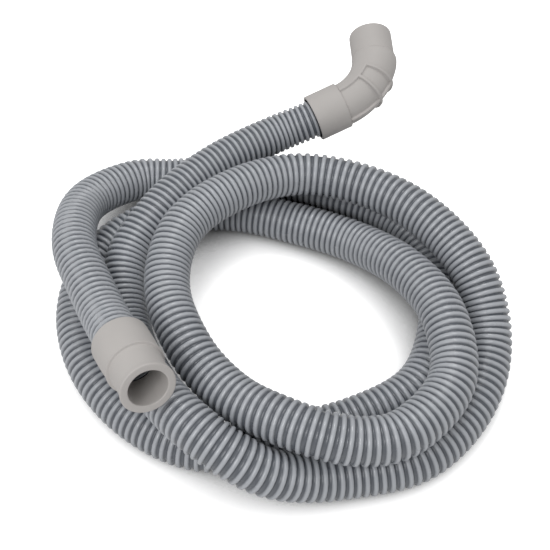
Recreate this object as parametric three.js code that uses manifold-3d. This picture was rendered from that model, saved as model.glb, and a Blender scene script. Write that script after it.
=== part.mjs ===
// Washing machine drain hose, laid in a loose coil: a corrugated hose with a
// straight rubber cuff at one end and a ribbed rubber elbow at the other.
// Millimetres, +Z up, the floor at z = 0.
import * as THREE from 'three';
import { mergeVertices } from 'three/addons/utils/BufferGeometryUtils.js';
import Module from 'manifold-3d';

const wasm = await Module();
wasm.setup();

// Hose
const hoseDiameter = 27.5;
const hoseSides = 12;
const hoseSteps = 80;

// Straight cuff
const cuffLength = 44.5;
const cuffCollarLength = 27.5;
const cuffCollarDiameter = 33.4;
const cuffMouthDiameter = 31.8;
const cuffBoreDiameter = 21.8;
const cuffPocketDepth = 22;
const cuffLip = 1.4;

// Elbow
const elbowCollarLength = 20.8;
const elbowCollarDiameter = 31;
const elbowPipeDiameter = 29.2;
const elbowMouthDiameter = 28.8;
const elbowMouthLength = 18.5;
const elbowLip = 1.1;
const elbowBoreDiameter = 21.6;
const elbowPocketDepth = 18;
const elbowCorner = 26;
const elbowYaw = 4.5;
const elbowPitch = 10;
const bendStep = 3.2;

// Softened edges where the collars begin and where they step down
const collarEdge = 0.8;
const stepEdge = 0.6;

// Ribs on the elbow: two across it at these shares of the bend, three along it
const ribWidth = 2.4;
const ribHeight = 1.4;
const ribRoot = 1.5;
const ribReach = 97;
const crossRibLow = 0.39;
const crossRibHigh = 0.62;
const outsideOfBend = 270;

// Fits
const pocketGap = 0.5;
const floorGap = 0.1;

// Colours
const hoseGrey = 0x7c7f84;
const rubberGrey = 0xb9b4b0;

// Route of the hose from the straight cuff to the elbow: x, y and the height
// of the underside of the hose above the floor.
const route = [
  [-76, -106, 57], [-86, -88, 50], [-96, -69, 43], [-109, -42, 38],
  [-124, -5, 31], [-123, 40, 17], [-93, 70, 5], [-71, 73, 2], [-47, 76, 1],
  [-2, 76, 0], [40, 63, 0], [79, 39, 0], [99, 0, 0], [100, -44, 0],
  [83, -86, 0], [45, -109, 0], [0, -121, 0], [-43, -127, 0], [-82, -108, 0],
  [-111, -74, 1], [-123, -30, 0], [-111, 13, 0], [-76, 41, 0], [-32, 47, 0],
  [12, 35, 1], [51, 15, 6], [80, -19, 21], [97, -57, 29], [97, -101, 28],
  [67, -133, 28], [44, -138, 30], [22, -135, 33], [1, -126, 32],
  [-19, -114, 29], [-35, -99, 28], [-49, -81, 30], [-65, -40, 33],
  [-58, 2, 37], [-28, 33, 36], [13, 53, 29], [57, 44, 28], [93, 16, 30],
  [120, -22, 22], [127, -60, 5], [113, -100, 1], [80, -133, 0],
  [37, -144, 1], [14, -148, 6], [-7, -149, 16], [-26, -143, 26],
  [-43, -132, 31], [-58, -117, 30], [-70, -99, 24], [-88, -57, 12],
  [-93, -10, 19], [-72, 28, 27], [-40, 62, 29], [1, 90, 29], [21, 97, 33],
  [41, 105, 38],
];

const hoseRadius = hoseDiameter / 2;
const points = route.map(([x, y, lift]) => new THREE.Vector3(x, y, lift + floorGap + hoseRadius));
const hoseLine = new THREE.CatmullRomCurve3(points);

// A regular polygon as a shape, with its corners on the circle.
function disc(radius, sides) {
  const corners = [];
  for (let i = 0; i < sides; i += 1) {
    const a = (2 * Math.PI * i) / sides;
    corners.push(new THREE.Vector2(radius * Math.cos(a), radius * Math.sin(a)));
  }
  return new THREE.Shape(corners);
}

function toSolid(geometry) {
  const bare = geometry.clone();
  bare.deleteAttribute('normal');
  bare.deleteAttribute('uv');
  const merged = mergeVertices(bare, 1e-4);
  const mesh = new wasm.Mesh({
    numProp: 3,
    vertProperties: new Float32Array(merged.attributes.position.array),
    triVerts: new Uint32Array(merged.index.array),
  });
  mesh.merge();
  return new wasm.Manifold(mesh);
}

function toMesh(name, solid, colour) {
  const data = solid.getMesh();
  const geometry = new THREE.BufferGeometry();
  geometry.setAttribute('position', new THREE.BufferAttribute(new Float32Array(data.vertProperties), 3));
  geometry.setIndex(new THREE.BufferAttribute(new Uint32Array(data.triVerts), 1));
  geometry.computeVertexNormals();
  const mesh = new THREE.Mesh(geometry, new THREE.MeshStandardMaterial({ color: colour, roughness: 0.6 }));
  mesh.name = name;
  return mesh;
}

// A body of revolution about +X, from rows of distance along X and radius.
function turned(rows, sides) {
  const profile = rows.map(([along, radius]) => new THREE.Vector2(radius, along));
  profile.push(profile[0].clone());
  const geometry = new THREE.LatheGeometry(profile, sides);
  geometry.rotateZ(-Math.PI / 2);
  return toSolid(geometry);
}

// Basis with x along u, y towards w and z square to both.
function basis(u, w, origin) {
  const n = new THREE.Vector3().crossVectors(u, w).normalize();
  const v = new THREE.Vector3().crossVectors(n, u).normalize();
  return new THREE.Matrix4().makeBasis(u, v, n).setPosition(origin);
}

function placed(solid, matrix) {
  return solid.transform(matrix.elements);
}

const group = new THREE.Group();
group.name = 'drain_hose';

// Corrugated hose, a plain round bar along the route
const hoseGeometry = new THREE.ExtrudeGeometry(disc(hoseRadius, hoseSides), {
  steps: hoseSteps,
  extrudePath: hoseLine,
  bevelEnabled: false,
});
group.add(toMesh('corrugated_hose', toSolid(hoseGeometry), hoseGrey));

// Straight cuff: the hose ends in its pocket, the bore goes on to the mouth
const cuffAxis = new THREE.Vector3().subVectors(points[0], points[1]).normalize();
const cuffStart = points[0].clone().addScaledVector(cuffAxis, pocketGap - cuffPocketDepth);
const cuffPocketRadius = hoseRadius + pocketGap;
const cuffSolid = turned([
  [0, cuffPocketRadius],
  [0, cuffCollarDiameter / 2 - collarEdge],
  [collarEdge, cuffCollarDiameter / 2],
  [cuffCollarLength - stepEdge, cuffCollarDiameter / 2],
  [cuffCollarLength, cuffMouthDiameter / 2],
  [cuffLength - cuffLip, cuffMouthDiameter / 2],
  [cuffLength - 0.4 * cuffLip, cuffMouthDiameter / 2 - 0.3 * cuffLip],
  [cuffLength, cuffMouthDiameter / 2 - cuffLip],
  [cuffLength, cuffBoreDiameter / 2],
  [cuffPocketDepth, cuffBoreDiameter / 2],
  [cuffPocketDepth, cuffPocketRadius],
], 32);
const cuffPlace = basis(cuffAxis, new THREE.Vector3(0, 0, 1), cuffStart);
group.add(toMesh('straight_cuff', placed(cuffSolid, cuffPlace), rubberGrey));

// Elbow: laid out flat with the bend in the xy plane, starting at the collar
const last = points.length - 1;
const elbowAxis = new THREE.Vector3().subVectors(points[last], points[last - 1]).normalize();
const elbowStart = points[last].clone().addScaledVector(elbowAxis, pocketGap - elbowPocketDepth);
const yaw = THREE.MathUtils.degToRad(elbowYaw);
const pitch = THREE.MathUtils.degToRad(elbowPitch);
const mouthAxis = new THREE.Vector3(
  -Math.sin(yaw) * Math.cos(pitch),
  Math.cos(yaw) * Math.cos(pitch),
  Math.sin(pitch),
);
const turn = elbowAxis.angleTo(mouthAxis);
const bendRadius = elbowCorner / Math.tan(turn / 2);
const pipeRadius = elbowPipeDiameter / 2;

// Frame across the bend at a share of the turn, x along the pipe.
function across(share, offset) {
  const a = turn * share;
  const matrix = new THREE.Matrix4().makeRotationZ(a);
  matrix.setPosition(
    elbowCollarLength + bendRadius * Math.sin(a) + offset * Math.cos(a),
    bendRadius * (1 - Math.cos(a)) + offset * Math.sin(a),
    0,
  );
  return matrix;
}

// Middle line of the bend, carried straight on at both ends.
class Bend extends THREE.Curve {
  constructor(lengthBefore, lengthAfter) {
    super();
    this.lengthBefore = lengthBefore;
    this.fullLength = lengthBefore + turn * bendRadius + lengthAfter;
  }

  getPoint(t, target = new THREE.Vector3()) {
    const run = t * this.fullLength - this.lengthBefore;
    const share = THREE.MathUtils.clamp(run / (turn * bendRadius), 0, 1);
    return target.setFromMatrixPosition(across(share, run - share * turn * bendRadius));
  }
}

// Round bar along that line.
function bendBar(radius, sides, lengthBefore, lengthAfter) {
  const line = new Bend(lengthBefore, lengthAfter);
  return toSolid(new THREE.ExtrudeGeometry(disc(radius, sides), {
    steps: Math.ceil(line.fullLength / bendStep),
    extrudePath: line,
    bevelEnabled: false,
  }));
}

const mouthRadius = elbowMouthDiameter / 2;
const collar = turned([
  [0, 0],
  [0, elbowCollarDiameter / 2 - collarEdge],
  [collarEdge, elbowCollarDiameter / 2],
  [elbowCollarLength - stepEdge, elbowCollarDiameter / 2],
  [elbowCollarLength, elbowCollarDiameter / 2 - stepEdge],
  [elbowCollarLength, 0],
], 32);
const mouth = turned([
  [0, 0],
  [0, mouthRadius],
  [elbowMouthLength - elbowLip, mouthRadius],
  [elbowMouthLength - 0.4 * elbowLip, mouthRadius - 0.3 * elbowLip],
  [elbowMouthLength, mouthRadius - elbowLip],
  [elbowMouthLength, 0],
], 32);

// Sector of a flat ring as a shape, angles in degrees from +X.
function ringSector(inner, outer, from, to) {
  const a = THREE.MathUtils.degToRad(from);
  const b = THREE.MathUtils.degToRad(to);
  const shape = new THREE.Shape();
  shape.absarc(0, 0, outer, a, b, false);
  shape.absarc(0, 0, inner, b, a, true);
  return shape;
}

// Cross rib: half round the outside of the bend, square to the pipe.
function crossRib(share) {
  const geometry = new THREE.ExtrudeGeometry(
    ringSector(pipeRadius - ribRoot, pipeRadius + ribHeight, outsideOfBend - ribReach, outsideOfBend + ribReach),
    { depth: ribWidth, bevelEnabled: false, curveSegments: 24 },
  );
  geometry.translate(0, 0, -ribWidth / 2);
  geometry.applyMatrix4(new THREE.Matrix4().makeBasis(
    new THREE.Vector3(0, 0, 1),
    new THREE.Vector3(0, 1, 0),
    new THREE.Vector3(-1, 0, 0),
  ));
  return placed(toSolid(geometry), across(share, 0));
}

// Rib along the bend, a ring sector in the plane of the bend.
function longRib(inner, outer, low, high, endShare) {
  const geometry = new THREE.ExtrudeGeometry(
    ringSector(inner, outer, outsideOfBend, outsideOfBend + THREE.MathUtils.radToDeg(turn * endShare)),
    { depth: high - low, bevelEnabled: false, curveSegments: 16 },
  );
  geometry.translate(elbowCollarLength, bendRadius, low);
  return toSolid(geometry);
}

const spine = longRib(
  bendRadius + pipeRadius - ribRoot,
  bendRadius + pipeRadius + ribHeight,
  -ribWidth / 2,
  ribWidth / 2,
  crossRibHigh,
);
const sideAt = bendRadius - pipeRadius * Math.sin(THREE.MathUtils.degToRad(ribReach - 90));
const sideInner = sideAt - ribWidth / 2;
const sideOuter = sideAt + ribWidth / 2;
const ribBottom = pipeRadius - ribRoot;
const ribTop = pipeRadius + ribHeight;
const upperSide = longRib(sideInner, sideOuter, ribBottom, ribTop, crossRibHigh);
const lowerSide = longRib(sideInner, sideOuter, -ribTop, -ribBottom, crossRibHigh);

const elbowPocketRadius = hoseRadius + pocketGap;
const pocket = turned([
  [-1, 0],
  [-1, elbowPocketRadius],
  [elbowPocketDepth, elbowPocketRadius],
  [elbowPocketDepth, 0],
], 32);
const innerWay = bendBar(elbowBoreDiameter / 2, 28, elbowCollarLength - elbowPocketDepth + 0.5, elbowMouthLength + 1);

const elbowSolid = bendBar(pipeRadius, 32, 1, 0.1)
  .add(collar)
  .add(placed(mouth, across(1, 0)))
  .add(crossRib(crossRibLow))
  .add(crossRib(crossRibHigh))
  .add(spine)
  .add(upperSide)
  .add(lowerSide)
  .subtract(pocket)
  .subtract(innerWay);
const elbowPlace = basis(elbowAxis, mouthAxis, elbowStart);
group.add(toMesh('elbow_cuff', placed(elbowSolid, elbowPlace), rubberGrey));

export default group;
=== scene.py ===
"""Washing machine drain hose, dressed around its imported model.

The hose lies in a loose coil on a white floor, with a straight rubber cuff
at one end and a ribbed rubber elbow at the other. Metres, +Z up.
"""

import math

import bpy
import numpy as np
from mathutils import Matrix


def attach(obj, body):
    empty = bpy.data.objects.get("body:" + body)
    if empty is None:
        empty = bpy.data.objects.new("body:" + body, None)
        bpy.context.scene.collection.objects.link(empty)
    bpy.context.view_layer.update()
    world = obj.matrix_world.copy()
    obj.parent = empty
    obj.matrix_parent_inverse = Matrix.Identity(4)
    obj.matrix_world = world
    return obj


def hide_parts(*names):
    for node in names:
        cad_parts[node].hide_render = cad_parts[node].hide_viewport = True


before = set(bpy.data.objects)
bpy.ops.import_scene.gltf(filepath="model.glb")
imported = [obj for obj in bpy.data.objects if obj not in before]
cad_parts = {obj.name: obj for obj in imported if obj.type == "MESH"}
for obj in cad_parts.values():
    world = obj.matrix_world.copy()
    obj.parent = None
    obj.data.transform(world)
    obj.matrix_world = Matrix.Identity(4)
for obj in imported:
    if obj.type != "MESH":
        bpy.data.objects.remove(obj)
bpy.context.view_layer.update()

# Viewpoint
# A long lens held about 65 cm from the coil, looking down on it at 54
# degrees.
view = bpy.data.cameras.new("viewpoint")
view.sensor_width = 36
view.lens = 65.45
view.clip_start = 0.01
viewpoint = bpy.data.objects.new("viewpoint", view)
viewpoint.location = (-0.00135, -0.3796, 0.5275)
viewpoint.rotation_euler = (math.radians(36), 0, 0)
bpy.context.collection.objects.link(viewpoint)
bpy.context.scene.camera = viewpoint
bpy.context.scene.view_settings.view_transform = "Standard"

# Corrugated hose
# Thin grey polypropylene blown into even rings, 27.5 mm over the crests and
# open all the way through. It is stiff enough to keep the loose coil, a little
# over three turns, that it was packed in.
HOSE_RADIUS = 0.01375
HOSE_BORE = 0.0104
NECK_RADIUS = 0.0128
FLOOR_GAP = 0.0001
HOSE_SIDES = 22
BORE_ROWS = 220
GROOVE_DEPTH = 0.0015
CREST_HALF_WIDTH = 0.0015
CREST_HALF_WIDTH_AT_ELBOW = 0.0012
CREST_MOST_OF_SPACING = 0.43
CREST_POWER = 2.6
LINE_STEP = 0.0006
STRAIGHT_TAIL = 0.016

# Route from the straight cuff to the elbow: x, y and the height of the
# underside of the hose, in millimetres.
route_mm = np.array([
    (-76, -106, 57), (-86, -88, 50), (-96, -69, 43), (-109, -42, 38),
    (-124, -5, 31), (-123, 40, 17), (-93, 70, 5), (-71, 73, 2),
    (-47, 76, 1), (-2, 76, 0), (40, 63, 0), (79, 39, 0), (99, 0, 0),
    (100, -44, 0), (83, -86, 0), (45, -109, 0), (0, -121, 0),
    (-43, -127, 0), (-82, -108, 0), (-111, -74, 1), (-123, -30, 0),
    (-111, 13, 0), (-76, 41, 0), (-32, 47, 0), (12, 35, 1), (51, 15, 6),
    (80, -19, 21), (97, -57, 29), (97, -101, 28), (67, -133, 28),
    (44, -138, 30), (22, -135, 33), (1, -126, 32), (-19, -114, 29),
    (-35, -99, 28), (-49, -81, 30), (-65, -40, 33), (-58, 2, 37),
    (-28, 33, 36), (13, 53, 29), (57, 44, 28), (93, 16, 30),
    (120, -22, 22), (127, -60, 5), (113, -100, 1), (80, -133, 0),
    (37, -144, 1), (14, -148, 6), (-7, -149, 16), (-26, -143, 26),
    (-43, -132, 31), (-58, -117, 30), (-70, -99, 24), (-88, -57, 12),
    (-93, -10, 19), (-72, 28, 27), (-40, 62, 29), (1, 90, 29),
    (21, 97, 33), (41, 105, 38),
], dtype=float)
route = route_mm / 1000 + np.array([0, 0, HOSE_RADIUS + FLOOR_GAP])


def smooth_route(knots, per_span=60, passes=100):
    """Centripetal Catmull-Rom curve through the knots, then evened out.

    Between two knots it is the cubic whose end slopes are those of the
    circle-like curve through each knot and its neighbours, with the square
    root of the chord as the parameter. Repeated averaging of each sample
    with its neighbours then takes out the jumps in curvature at the knots.
    The two tails that sit in the rubber ends stay straight.
    """
    before = 2 * knots[0] - knots[1]
    after = 2 * knots[-1] - knots[-2]
    p = np.vstack([before, knots, after])
    p0, p1, p2, p3 = p[:-3], p[1:-2], p[2:-1], p[3:]
    d0, d1, d2 = (
        np.sqrt(np.linalg.norm(b - a, axis=1))[:, None]
        for a, b in ((p0, p1), (p1, p2), (p2, p3))
    )
    m1 = ((p1 - p0) / d0 - (p2 - p0) / (d0 + d1) + (p2 - p1) / d1) * d1
    m2 = ((p2 - p1) / d1 - (p3 - p1) / (d1 + d2) + (p3 - p2) / d2) * d1
    t = (np.arange(per_span) / per_span)[None, :, None]
    a, b, m, n = p1[:, None], p2[:, None], m1[:, None], m2[:, None]
    body = (
        a
        + m * t
        + (3 * (b - a) - 2 * m - n) * t**2
        + (2 * (a - b) + m + n) * t**3
    )
    line = np.vstack([body.reshape(-1, 3), knots[-1]])
    line = even_steps(line, LINE_STEP)
    fixed = int(STRAIGHT_TAIL / LINE_STEP)
    for _ in range(passes):
        middle = (line[:-2] + 2 * line[1:-1] + line[2:]) / 4
        line[fixed:-fixed] = middle[fixed - 1 : 1 - fixed]
    return line


def even_steps(line, step):
    """The same line with samples about one step apart along it."""
    along = run_length(line)
    count = int(round(along[-1] / step)) + 1
    even = np.linspace(0, along[-1], count)
    return np.stack([np.interp(even, along, line[:, k]) for k in range(3)], 1)


def run_length(line):
    """Distance along the line at each of its samples."""
    steps = np.linalg.norm(np.diff(line, axis=0), axis=1)
    return np.concatenate([[0], np.cumsum(steps)])


def unit(vectors):
    """Vectors of length one in the same directions."""
    return vectors / np.linalg.norm(vectors, axis=-1, keepdims=True)


centre_line = smooth_route(route)
along = run_length(centre_line)
hose_length = along[-1]
tangent = unit(np.gradient(centre_line, along, axis=0))
side = unit(np.cross(tangent, [0, 0, 1]))
upward = np.cross(side, tangent)
curvature = np.gradient(tangent, along, axis=0)


def sample(values, where):
    """Values along the hose, read off at any distances from its start."""
    return np.stack([np.interp(where, along, values[:, k]) for k in range(3)], -1)


# Spacing of the rings: pushed together here and drawn out there, as the coil
# was pulled about, by distance along the hose.
spacing_at = np.array([
    0, 0.1, 0.14, 0.3, 0.41, 0.56, 0.6, 0.68, 0.95, 0.98, 1.04, 1.16, 1.22,
    1.34, 1.38, 1.46, 1.49, 1.52, 1.58, 1.61, 1.67, 1.7, 1.79, 1.84, 1.88,
    1.92, 2.03, 2.12, 2.18, 2.21, 2.3,
])
spacing_is = np.array([
    4.3, 4.3, 4.15, 4.5, 4.7, 4.5, 4.9, 4.25, 4.3, 4.0, 4.45, 4.1, 4.65,
    4.55, 3.65, 3.65, 4.2, 5.1, 4.9, 4.05, 3.8, 4.8, 4.4, 5.2, 5.1,
    4.05, 3.7, 3.9, 4.2, 3.75, 3.6,
]) / 1000
spacing = np.interp(along, spacing_at, spacing_is)
rings_passed = np.concatenate([[0], np.cumsum(np.diff(along) / spacing[:-1])])
ring_count = int(rings_passed[-1])
ring_centre = np.interp(np.arange(ring_count) + 0.5, rings_passed, along)
ring_spacing = np.interp(ring_centre, along, spacing)

# The rings are a little smaller at both ends, and their crests narrower on
# the way to the elbow.
ring_radius = np.interp(
    ring_centre,
    [0, 0.03, hose_length - 0.14, hose_length - 0.05],
    [NECK_RADIUS, HOSE_RADIUS, HOSE_RADIUS, NECK_RADIUS],
)
crest_half_width = np.interp(
    ring_centre, [2.0, 2.12], [CREST_HALF_WIDTH, CREST_HALF_WIDTH_AT_ELBOW])


def hose_outside():
    """Rows of points over the rings, eight rows a ring.

    Round the hose the angle runs from 0 to a full turn. A ring is a crest
    of constant width on a plain tube: the height over the groove is
    depth * (1 - |u|^p)^(1 / p), with u the distance from the middle of
    the crest over half its width. Across a bend the spacing there is the
    spacing on the centre line times 1 - radius * curvature, so the grooves
    close on the inside and open on the outside.
    """
    angle = np.linspace(0, 2 * math.pi, HOSE_SIDES, endpoint=False)
    cosine, sine = np.cos(angle), np.sin(angle)
    bend = sample(curvature, ring_centre)
    bend_side = np.sum(bend * sample(side, ring_centre), axis=1)
    bend_up = np.sum(bend * sample(upward, ring_centre), axis=1)
    stretch = 1 - HOSE_RADIUS * (bend_side[:, None] * cosine + bend_up[:, None] * sine)
    local = ring_spacing[:, None] * stretch
    half_crest = np.minimum(crest_half_width[:, None], CREST_MOST_OF_SPACING * local)
    share = np.array([0, -1, -0.86, -0.5, 0, 0.5, 0.86, 1])
    height = np.clip(1 - np.abs(share) ** CREST_POWER, 0, 1) ** (1 / CREST_POWER)
    height[0] = 0
    offset = share[None, :, None] * half_crest[:, None, :]
    offset[:, 0, :] = -local / 2
    where = ring_centre[:, None, None] + offset / stretch[:, None, :]
    where = np.clip(where, 0, hose_length)
    radius = ring_radius[:, None] - GROOVE_DEPTH * (1 - height[None, :])
    around = (
        cosine[None, None, :, None] * sample(side, where)
        + sine[None, None, :, None] * sample(upward, where)
    )
    points = sample(centre_line, where) + radius[:, :, None, None] * around
    crest = np.broadcast_to(height[None, :, None], where.shape)
    return (
        points.reshape(-1, HOSE_SIDES, 3),
        crest.reshape(-1, HOSE_SIDES),
        where.reshape(-1, HOSE_SIDES),
    )


def hose_inside():
    """Rows of a plain bore, run back from the elbow end to the cuff end."""
    angle = np.linspace(0, 2 * math.pi, HOSE_SIDES, endpoint=False)
    where = np.linspace(hose_length, 0, BORE_ROWS)[:, None] * np.ones(HOSE_SIDES)
    around = (
        np.cos(angle)[None, :, None] * sample(side, where)
        + np.sin(angle)[None, :, None] * sample(upward, where)
    )
    return sample(centre_line, where) + HOSE_BORE * around, np.zeros(where.shape), where


def ring_mesh(name, rows, crest=None, where=None):
    """A closed skin over rows of points: each row a closed ring, and the
    last row joined to the first. Where they are given, it stores how far up
    a crest each point is, and a map of the turn round and the metres along.
    """
    row_count, sides = rows.shape[:2]
    index = np.arange(row_count * sides).reshape(row_count, sides)
    below = np.roll(index, -1, axis=0)
    faces = np.stack([
        index,
        np.roll(index, -1, axis=1),
        np.roll(below, -1, axis=1),
        below,
    ], -1).reshape(-1, 4)
    mesh = bpy.data.meshes.new(name)
    mesh.vertices.add(row_count * sides)
    mesh.vertices.foreach_set("co", rows.reshape(-1).astype(np.float32))
    mesh.loops.add(faces.size)
    mesh.loops.foreach_set("vertex_index", faces.reshape(-1).astype(np.int32))
    mesh.polygons.add(len(faces))
    mesh.polygons.foreach_set("loop_start", np.arange(0, faces.size, 4, dtype=np.int32))
    mesh.update(calc_edges=True)
    mesh.polygons.foreach_set("use_smooth", np.ones(len(faces), dtype=bool))
    if crest is not None:
        mesh.attributes.new("crest", "FLOAT", "POINT").data.foreach_set(
            "value", crest.reshape(-1).astype(np.float32))
    if where is not None:
        turn = np.broadcast_to(np.arange(sides) / sides, where.shape).reshape(-1)
        corner_turn = turn[faces].copy()
        corner_turn[:, 1:3][corner_turn[:, 1:3] < corner_turn[:, :1]] += 1
        flat = np.stack([corner_turn, where.reshape(-1)[faces]], -1)
        mesh.uv_layers.new(name="skin").data.foreach_set(
            "uv", flat.reshape(-1).astype(np.float32))
    mesh.validate()
    piece = bpy.data.objects.new(name, mesh)
    bpy.context.collection.objects.link(piece)
    return piece


# Both skins are joined at the two ends and turned to face outward.
outside, outside_crest, outside_where = hose_outside()
inside, inside_crest, inside_where = hose_inside()
hose = ring_mesh(
    "hose",
    np.concatenate([outside, inside])[::-1],
    np.concatenate([outside_crest, inside_crest])[::-1],
    np.concatenate([outside_where, inside_where])[::-1],
)


def moulded_surface():
    """Node group for moulded plastic and rubber: a colour and a roughness
    that drift a little from place to place, and a fine grain as height."""
    group = bpy.data.node_groups.new("moulded_surface", "ShaderNodeTree")
    for name, kind, start in (
        ("Vector", "NodeSocketVector", None),
        ("Colour", "NodeSocketColor", None),
        ("Drift", "NodeSocketFloat", 0.06),
        ("Cloud size", "NodeSocketFloat", 40.0),
        ("Grain size", "NodeSocketFloat", 1400.0),
        ("Roughness", "NodeSocketFloat", 0.5),
    ):
        socket = group.interface.new_socket(name, in_out="INPUT", socket_type=kind)
        if start is not None:
            socket.default_value = start
    group.interface.new_socket("Colour", in_out="OUTPUT", socket_type="NodeSocketColor")
    group.interface.new_socket("Roughness", in_out="OUTPUT", socket_type="NodeSocketFloat")
    group.interface.new_socket("Height", in_out="OUTPUT", socket_type="NodeSocketFloat")
    nodes, links = group.nodes, group.links
    given = nodes.new("NodeGroupInput")
    result = nodes.new("NodeGroupOutput")
    cloud = nodes.new("ShaderNodeTexNoise")
    cloud.inputs["Detail"].default_value = 3
    grain = nodes.new("ShaderNodeTexNoise")
    grain.inputs["Detail"].default_value = 2
    links.new(given.outputs["Vector"], cloud.inputs["Vector"])
    links.new(given.outputs["Vector"], grain.inputs["Vector"])
    links.new(given.outputs["Cloud size"], cloud.inputs["Scale"])
    links.new(given.outputs["Grain size"], grain.inputs["Scale"])
    centred = nodes.new("ShaderNodeMath")
    centred.operation = "SUBTRACT"
    centred.inputs[1].default_value = 0.5
    links.new(cloud.outputs["Fac"], centred.inputs[0])
    drift = nodes.new("ShaderNodeMath")
    drift.operation = "MULTIPLY_ADD"
    drift.inputs[2].default_value = 1.0
    links.new(centred.outputs[0], drift.inputs[0])
    links.new(given.outputs["Drift"], drift.inputs[1])
    tint = nodes.new("ShaderNodeVectorMath")
    tint.operation = "SCALE"
    links.new(given.outputs["Colour"], tint.inputs[0])
    links.new(drift.outputs[0], tint.inputs["Scale"])
    links.new(tint.outputs[0], result.inputs["Colour"])
    rough = nodes.new("ShaderNodeMath")
    rough.operation = "MULTIPLY_ADD"
    rough.inputs[1].default_value = 0.16
    links.new(centred.outputs[0], rough.inputs[0])
    links.new(given.outputs["Roughness"], rough.inputs[2])
    links.new(rough.outputs[0], result.inputs["Roughness"])
    links.new(grain.outputs["Fac"], result.inputs["Height"])
    return group


moulded = moulded_surface()


def hose_plastic():
    """Satin grey plastic with fine streaks along the hose. Down in the grooves the colour
    is painted much darker than on the crests: painted shade."""
    material = bpy.data.materials.new("hose_plastic")
    material.use_nodes = True
    nodes, links = material.node_tree.nodes, material.node_tree.links
    shader = nodes["Principled BSDF"]
    skin = nodes.new("ShaderNodeUVMap")
    skin.uv_map = "skin"
    drawn = nodes.new("ShaderNodeMapping")
    drawn.inputs["Scale"].default_value = (120.0, 260.0, 1.0)
    links.new(skin.outputs["UV"], drawn.inputs["Vector"])
    streak = nodes.new("ShaderNodeTexNoise")
    streak.inputs["Scale"].default_value = 1.0
    streak.inputs["Detail"].default_value = 2
    links.new(drawn.outputs["Vector"], streak.inputs["Vector"])
    place = nodes.new("ShaderNodeTexCoord")
    crest = nodes.new("ShaderNodeAttribute")
    crest.attribute_name = "crest"
    # Painted shade: the groove colour, far darker than the crest colour, stands in for the
    # shade down in the grooves.
    depth = nodes.new("ShaderNodeMix")
    depth.data_type = "RGBA"
    depth.inputs[6].default_value = (0.11, 0.12, 0.138, 1)
    depth.inputs[7].default_value = (0.42, 0.437, 0.466, 1)
    links.new(crest.outputs["Fac"], depth.inputs[0])
    finish = nodes.new("ShaderNodeGroup")
    finish.node_tree = moulded
    finish.inputs["Drift"].default_value = 0.10
    finish.inputs["Cloud size"].default_value = 55
    finish.inputs["Grain size"].default_value = 1800
    finish.inputs["Roughness"].default_value = 0.26
    links.new(place.outputs["Object"], finish.inputs["Vector"])
    links.new(depth.outputs[2], finish.inputs["Colour"])
    links.new(finish.outputs["Colour"], shader.inputs["Base Color"])
    links.new(finish.outputs["Roughness"], shader.inputs["Roughness"])
    relief = nodes.new("ShaderNodeMath")
    relief.operation = "MULTIPLY_ADD"
    relief.inputs[1].default_value = 0.35
    links.new(finish.outputs["Height"], relief.inputs[0])
    links.new(streak.outputs["Fac"], relief.inputs[2])
    bump = nodes.new("ShaderNodeBump")
    bump.inputs["Strength"].default_value = 0.35
    bump.inputs["Distance"].default_value = 0.00025
    links.new(relief.outputs[0], bump.inputs["Height"])
    links.new(bump.outputs["Normal"], shader.inputs["Normal"])
    shader.inputs["Specular IOR Level"].default_value = 0.65
    return material


hose.data.materials.append(hose_plastic())
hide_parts("corrugated_hose")
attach(hose, "root")

# Straight cuff
# Soft warm-grey rubber, moulded in one and pushed over the hose's tail. The
# wide collar grips the hose and sits a little askew on it; the spigot beyond
# the bead narrows and ends in a rounded lip that goes over a pipe.
CUFF_POCKET_DEPTH = 0.022
POCKET_GAP = 0.0005
CUFF_SIDES = 96


def turned_rows(profile, start, axis, sides):
    """Rows of a body of revolution: for each (distance, radius) of the
    profile, a ring of that radius at start + distance * axis."""
    axis = unit(np.asarray(axis, dtype=float))
    across = unit(np.cross(axis, [0, 0, 1]))
    over = np.cross(across, axis)
    angle = np.linspace(0, 2 * math.pi, sides, endpoint=False)
    round_it = np.cos(angle)[:, None] * across + np.sin(angle)[:, None] * over
    distance, radius = np.asarray(profile).T
    return start + distance[:, None, None] * axis + radius[:, None, None] * round_it[None]


def rounded(corners, radii, steps=5):
    """A closed outline with its corners rounded by quadratic arcs.

    At a corner c with neighbours a and b, the arc runs from the point one
    radius back towards a to the point one radius on towards b, as
    (1-t)^2 start + 2t(1-t) c + t^2 end.
    """
    corners = np.asarray(corners, dtype=float)
    back = unit(np.roll(corners, 1, axis=0) - corners)
    on = unit(np.roll(corners, -1, axis=0) - corners)
    reach = np.asarray(radii, dtype=float)[:, None]
    first, last = corners + back * reach, corners + on * reach
    t = np.linspace(0, 1, steps)[None, :, None]
    arcs = (
        (1 - t) ** 2 * first[:, None]
        + 2 * t * (1 - t) * corners[:, None]
        + t**2 * last[:, None]
    )
    return arcs.reshape(-1, 2)


pocket_radius = HOSE_RADIUS + POCKET_GAP
hose_axis = unit(route[0] - route[1])
cuff_start = route[0] + hose_axis * (POCKET_GAP - CUFF_POCKET_DEPTH)
cuff_axis = unit(np.array([0.442, -0.836, 0.327]))

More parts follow.
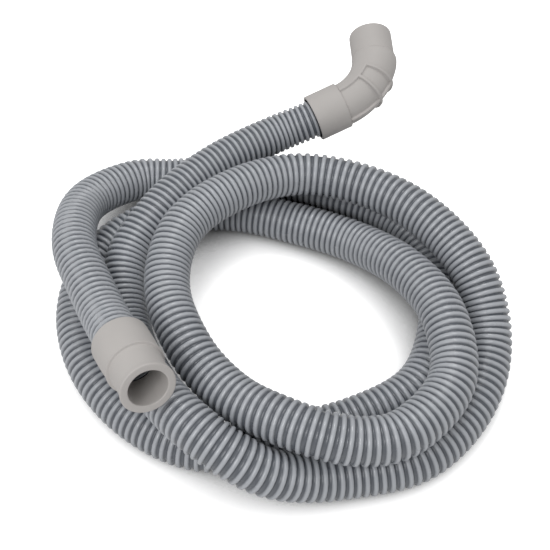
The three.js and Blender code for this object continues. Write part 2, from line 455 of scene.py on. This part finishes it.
# Outline in millimetres: distance from the collar's edge, radius, and the
# rounding of the corner. It runs over the outside to the mouth and back
# through the bore and the pocket.
cuff_corners = np.array([
    (0.0, 13.9, 0.1), (0.0, 16.6, 0.8), (13.0, 16.5, 3.0), (23.6, 15.9, 0.2),
    (24.1, 16.5, 0.15), (25.2, 16.5, 0.4), (25.6, 15.0, 0.3), (28.5, 14.6, 1.2),
    (36.0, 14.4, 2.0), (41.0, 14.75, 1.5), (44.5, 15.7, 1.3), (44.5, 11.0, 0.8),
    (CUFF_POCKET_DEPTH * 1000, 10.9, 0.3),
    (CUFF_POCKET_DEPTH * 1000, pocket_radius * 1000, 0.3),
    (2.0, pocket_radius * 1000, 0.5),
]) / 1000
cuff_outline = rounded(cuff_corners[:, :2], cuff_corners[:, 2], steps=7)
cuff = ring_mesh(
    "straight_end",
    turned_rows(cuff_outline, cuff_start, cuff_axis, CUFF_SIDES)[::-1],
)


def soft_rubber(name, colour):
    """Matt warm-grey rubber with a faint moulded grain. Down in the bore and where it
    meets the hose its colour is painted darker from ambient occlusion: painted shade."""
    material = bpy.data.materials.new(name)
    material.use_nodes = True
    nodes, links = material.node_tree.nodes, material.node_tree.links
    shader = nodes["Principled BSDF"]
    place = nodes.new("ShaderNodeTexCoord")
    finish = nodes.new("ShaderNodeGroup")
    finish.node_tree = moulded
    finish.inputs["Colour"].default_value = colour
    finish.inputs["Drift"].default_value = 0.08
    finish.inputs["Cloud size"].default_value = 70
    finish.inputs["Grain size"].default_value = 1500
    finish.inputs["Roughness"].default_value = 0.62
    links.new(place.outputs["Object"], finish.inputs["Vector"])
    # Painted shade: ambient occlusion darkens the base colour in the bore and where the
    # rubber meets the hose.
    recess = nodes.new("ShaderNodeAmbientOcclusion")
    recess.samples = 6
    recess.inputs["Distance"].default_value = 0.02
    shade = nodes.new("ShaderNodeMath")
    shade.operation = "MULTIPLY_ADD"
    shade.use_clamp = True
    shade.inputs[1].default_value = 1.6
    shade.inputs[2].default_value = 0.02
    links.new(recess.outputs["AO"], shade.inputs[0])
    dimmed = nodes.new("ShaderNodeVectorMath")
    dimmed.operation = "SCALE"
    links.new(finish.outputs["Colour"], dimmed.inputs[0])
    links.new(shade.outputs[0], dimmed.inputs["Scale"])
    links.new(dimmed.outputs[0], shader.inputs["Base Color"])
    links.new(finish.outputs["Roughness"], shader.inputs["Roughness"])
    bump = nodes.new("ShaderNodeBump")
    bump.inputs["Strength"].default_value = 0.25
    bump.inputs["Distance"].default_value = 0.00012
    links.new(finish.outputs["Height"], bump.inputs["Height"])
    links.new(bump.outputs["Normal"], shader.inputs["Normal"])
    shader.inputs["Specular IOR Level"].default_value = 0.35
    return material


rubber = soft_rubber("warm_grey_rubber", (0.485, 0.462, 0.445, 1))
cuff.data.materials.append(rubber)
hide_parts("straight_cuff")
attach(cuff, "root")

# Elbow
# The same rubber, moulded as a collar, a bend and a spigot. Thin ribs along
# and across the outside of the bend keep it from folding.
ELBOW_POCKET_DEPTH = 0.018
COLLAR_LENGTH = 0.0208
COLLAR_RADIUS = 0.0155
COLLAR_OVERHANG = 0.0009
CORNER_REACH = 0.026
MOUTH_YAW = math.radians(4.5)
MOUTH_PITCH = math.radians(10)
PIPE_RADIUS = 0.0142
PIPE_GROWTH = 0.0005
SPIGOT_LENGTH = 0.0185
SPIGOT_RADIUS = 0.0144
ELBOW_BORE = 0.0108
SHOULDER = 0.0010
RIB_HALF_WIDTH = 0.0012
RIB_HEIGHT = 0.0016
RIB_RADIUS = 0.0145
RIB_REACH = math.radians(97)
SPINE_ANGLE = math.radians(5)
CROSS_RIBS_AT = (0.39, 0.62)
ELBOW_SIDES = 288

elbow_axis = unit(route[-1] - route[-2])
elbow_start = route[-1] + elbow_axis * (POCKET_GAP - ELBOW_POCKET_DEPTH)
mouth_axis = np.array([
    -math.sin(MOUTH_YAW) * math.cos(MOUTH_PITCH),
    math.cos(MOUTH_YAW) * math.cos(MOUTH_PITCH),
    math.sin(MOUTH_PITCH),
])
turn = math.acos(float(elbow_axis @ mouth_axis))
bend_radius = CORNER_REACH / math.tan(turn / 2)
bend_length = bend_radius * turn
bend_normal = unit(np.cross(elbow_axis, mouth_axis))
bend_inward = np.cross(bend_normal, elbow_axis)


def elbow_rows(distance, radius):
    """Rings across the elbow: straight, then round the bend, then straight.

    In the plane of the bend the middle is at (R sin a, R (1 - cos a)) for
    the turned angle a, and the outward direction there is (sin a, -cos a).
    """
    arc = np.clip(distance - COLLAR_LENGTH, 0, bend_length)
    a = arc / bend_radius
    ahead = np.minimum(distance, COLLAR_LENGTH) + bend_radius * np.sin(a)
    inward = bend_radius * (1 - np.cos(a))
    past = np.maximum(distance - COLLAR_LENGTH - bend_length, 0)
    ahead = ahead + past * np.cos(a)
    inward = inward + past * np.sin(a)
    middle = elbow_start + ahead[:, None] * elbow_axis + inward[:, None] * bend_inward
    outward = np.sin(a)[:, None] * elbow_axis - np.cos(a)[:, None] * bend_inward
    angle = np.linspace(0, 2 * math.pi, ELBOW_SIDES, endpoint=False)
    round_it = (
        np.cos(angle)[None, :, None] * outward[:, None]
        + np.sin(angle)[None, :, None] * bend_normal
    )
    return middle[:, None] + radius[..., None] * round_it


def ridge(gap):
    """Height of a rib at a distance from its middle line: full to seven
    tenths of its half width, then a steep slope down to nothing at one and
    a quarter of it, as 3t^2 - 2t^3."""
    slope = np.clip((1.25 * RIB_HALF_WIDTH - np.abs(gap)) / (0.55 * RIB_HALF_WIDTH), 0, 1)
    return RIB_HEIGHT * slope * slope * (3 - 2 * slope)


def rib_height(distance):
    """Ribs over the bend, by distance along it and angle from outermost."""
    angle = np.linspace(0, 2 * math.pi, ELBOW_SIDES, endpoint=False)
    angle = (angle + math.pi) % (2 * math.pi) - math.pi
    arc = (distance - COLLAR_LENGTH)[:, None]
    local = bend_radius + RIB_RADIUS * np.cos(angle)
    round_way = RIB_RADIUS * angle[None, :]
    low, high = (share * bend_length for share in CROSS_RIBS_AT)
    in_reach = np.abs(angle)[None, :] - RIB_REACH
    past_side = np.maximum(in_reach * RIB_RADIUS, 0)
    height = np.zeros((len(distance), ELBOW_SIDES))
    for station in (low, high):
        gap = (arc - station) / bend_radius * local[None, :]
        height = np.maximum(height, ridge(np.hypot(gap, past_side)))
    beyond = np.maximum(arc - high, 0) / bend_radius * local[None, :]
    for middle in (-RIB_REACH, RIB_REACH, SPINE_ANGLE):
        gap = round_way - RIB_RADIUS * middle
        height = np.maximum(height, ridge(np.hypot(gap, beyond)))
    return np.where(arc < 0, 0, height)


seam_at = COLLAR_LENGTH + bend_length - 0.0015
mouth_at = COLLAR_LENGTH + bend_length + SPIGOT_LENGTH
pipe_steps = np.linspace(COLLAR_LENGTH, seam_at, 190)
pipe_share = (pipe_steps - COLLAR_LENGTH) / (seam_at - COLLAR_LENGTH)


def shoulder_height():
    """Swelling of the outside of the bend before the seam.

    It rises as 3t^2 - 2t^3 from seven tenths of the bend, closes as the
    square root of what is left before the seam, and fades round the pipe
    as (1 + cos angle) / 2.
    """
    angle = np.linspace(0, 2 * math.pi, ELBOW_SIDES, endpoint=False)
    t = np.clip((pipe_share - 0.7) / 0.22, 0, 1)
    swell = t * t * (3 - 2 * t) * np.sqrt(np.clip((1 - pipe_share) / 0.04, 0, 1))
    return SHOULDER * swell[:, None] * (1 + np.cos(angle)) / 2


pipe_radius = PIPE_RADIUS + PIPE_GROWTH * pipe_share
pipe_rows = pipe_radius[:, None] + rib_height(pipe_steps) + shoulder_height()

# The parts that are the same all round: distance along the elbow and radius.
# The collar's last corner is cut off where the ribbed pipe takes over.
collar_part = rounded(
    [
        (-COLLAR_OVERHANG, 0.0138), (-COLLAR_OVERHANG, COLLAR_RADIUS),
        (COLLAR_LENGTH, COLLAR_RADIUS), (COLLAR_LENGTH, PIPE_RADIUS),
    ],
    [0.0002, 0.0006, 0.0005, 0.0],
)[:15]
spigot_part = np.array([
    (seam_at + 0.0002, 0.0146), (seam_at + 0.0004, 0.0143),
    (seam_at + 0.0007, 0.01415), (seam_at + 0.0011, 0.0143),
    (seam_at + 0.0016, SPIGOT_RADIUS), (seam_at + 0.006, SPIGOT_RADIUS),
    (mouth_at - 0.0016, SPIGOT_RADIUS), (mouth_at - 0.0009, 0.01434),
    (mouth_at - 0.0004, 0.01412), (mouth_at - 0.0001, 0.01375),
    (mouth_at, 0.0132), (mouth_at, ELBOW_BORE + 0.0008),
    (mouth_at - 0.0001, ELBOW_BORE + 0.0003), (mouth_at - 0.0006, ELBOW_BORE),
])
bore_steps = np.linspace(seam_at + 0.004, ELBOW_POCKET_DEPTH, 60)
inner_part = np.concatenate([
    np.stack([bore_steps, np.full(60, ELBOW_BORE)], 1),
    [
        (ELBOW_POCKET_DEPTH, pocket_radius - 0.0003),
        (ELBOW_POCKET_DEPTH - 0.0003, pocket_radius),
        (0.0012, pocket_radius),
    ],
])


def same_all_round(part):
    """Rows of a part without ribs, one radius a row."""
    return elbow_rows(part[:, 0], np.repeat(part[:, 1:], ELBOW_SIDES, axis=1))


elbow = ring_mesh("elbow_end", np.concatenate([
    same_all_round(collar_part),
    elbow_rows(pipe_steps, pipe_rows),
    same_all_round(spigot_part),
    same_all_round(inner_part),
])[::-1])
elbow.data.materials.append(rubber)
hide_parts("elbow_cuff")
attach(elbow, "root")

# Floor and lighting
# A white studio floor that keeps the soft shadow of the hose, partly cast by the lamps and
# partly painted from ambient occlusion, in a pale surround, with one broad lamp behind the
# coil and one before it on the left.
SKY_STRENGTH = 0.48
FLOOR_GREY = 0.8

floor_mesh = bpy.data.meshes.new("floor")
floor_mesh.from_pydata(
    [(-6, -6, 0), (6, -6, 0), (6, 6, 0), (-6, 6, 0)], [], [(0, 1, 2, 3)])
floor = bpy.data.objects.new("floor", floor_mesh)
bpy.context.collection.objects.link(floor)
floor_paint = bpy.data.materials.new("floor_paint")
floor_paint.use_nodes = True
floor_nodes, floor_links = floor_paint.node_tree.nodes, floor_paint.node_tree.links
floor_shader = floor_nodes["Principled BSDF"]
floor_shader.inputs["Roughness"].default_value = 0.9
floor_shader.inputs["Specular IOR Level"].default_value = 0.0
floor_shader.inputs["Emission Color"].default_value = (1, 1, 1, 1)

# Seen by the camera, open floor is lifted to plain white by emission, less so close to the
# hose, where the lift follows ambient occlusion: a painted shadow. In narrow gaps the
# floor's grey is painted darker as well: painted shade.
ray = floor_nodes.new("ShaderNodeLightPath")
openness = floor_nodes.new("ShaderNodeAmbientOcclusion")
openness.samples = 8
openness.inputs["Distance"].default_value = 0.05
lift = floor_nodes.new("ShaderNodeMath")
lift.operation = "MULTIPLY_ADD"
lift.use_clamp = True
lift.inputs[1].default_value = 1.7
lift.inputs[2].default_value = -0.42
floor_links.new(openness.outputs["AO"], lift.inputs[0])
seen_lift = floor_nodes.new("ShaderNodeMath")
seen_lift.operation = "MULTIPLY"
floor_links.new(lift.outputs[0], seen_lift.inputs[0])
floor_links.new(ray.outputs["Is Camera Ray"], seen_lift.inputs[1])
floor_links.new(seen_lift.outputs[0], floor_shader.inputs["Emission Strength"])
# Painted shade: the floor's grey is darkened where ambient occlusion is low, in narrow
# gaps between strands.
gap_shade = floor_nodes.new("ShaderNodeMath")
gap_shade.operation = "MULTIPLY"
gap_shade.inputs[1].default_value = 2.2
gap_shade.use_clamp = True
floor_links.new(openness.outputs["AO"], gap_shade.inputs[0])
gap_shaded_grey = floor_nodes.new("ShaderNodeMath")
gap_shaded_grey.operation = "MULTIPLY"
gap_shaded_grey.inputs[1].default_value = FLOOR_GREY
floor_links.new(gap_shade.outputs[0], gap_shaded_grey.inputs[0])
floor_links.new(gap_shaded_grey.outputs[0], floor_shader.inputs["Base Color"])
floor_mesh.materials.append(floor_paint)

# The surround lights at its own strength and is white to the camera.
surround = bpy.data.worlds.new("surround")
bpy.context.scene.world = surround
surround.use_nodes = True
world_nodes, world_links = surround.node_tree.nodes, surround.node_tree.links
backdrop = world_nodes["Background"]
backdrop.inputs["Color"].default_value = (1, 1, 1, 1)
world_ray = world_nodes.new("ShaderNodeLightPath")
seen = world_nodes.new("ShaderNodeMath")
seen.operation = "MULTIPLY_ADD"
seen.inputs[1].default_value = 1 - SKY_STRENGTH
seen.inputs[2].default_value = SKY_STRENGTH
world_links.new(world_ray.outputs["Is Camera Ray"], seen.inputs[0])
world_links.new(seen.outputs[0], backdrop.inputs["Strength"])


def soft_lamp(name, place, aim, size, power):
    """A square area lamp at a place, turned to face a point."""
    lamp = bpy.data.lights.new(name, "AREA")
    lamp.size = size
    lamp.energy = power
    stand = bpy.data.objects.new(name, lamp)
    ahead = unit(np.array(aim) - np.array(place))
    level = math.hypot(ahead[0], ahead[1])
    stand.location = place
    stand.rotation_euler = (
        math.pi / 2 - math.atan2(-ahead[2], level),
        0,
        math.atan2(-ahead[0], ahead[1]),
    )
    bpy.context.collection.objects.link(stand)


soft_lamp("back", (0.1, 0.9, 2.2), (0, 0, 0), 0.8, 15.5)
soft_lamp("front", (-0.45, -0.8, 1.1), (0, -0.05, 0), 0.7, 7)
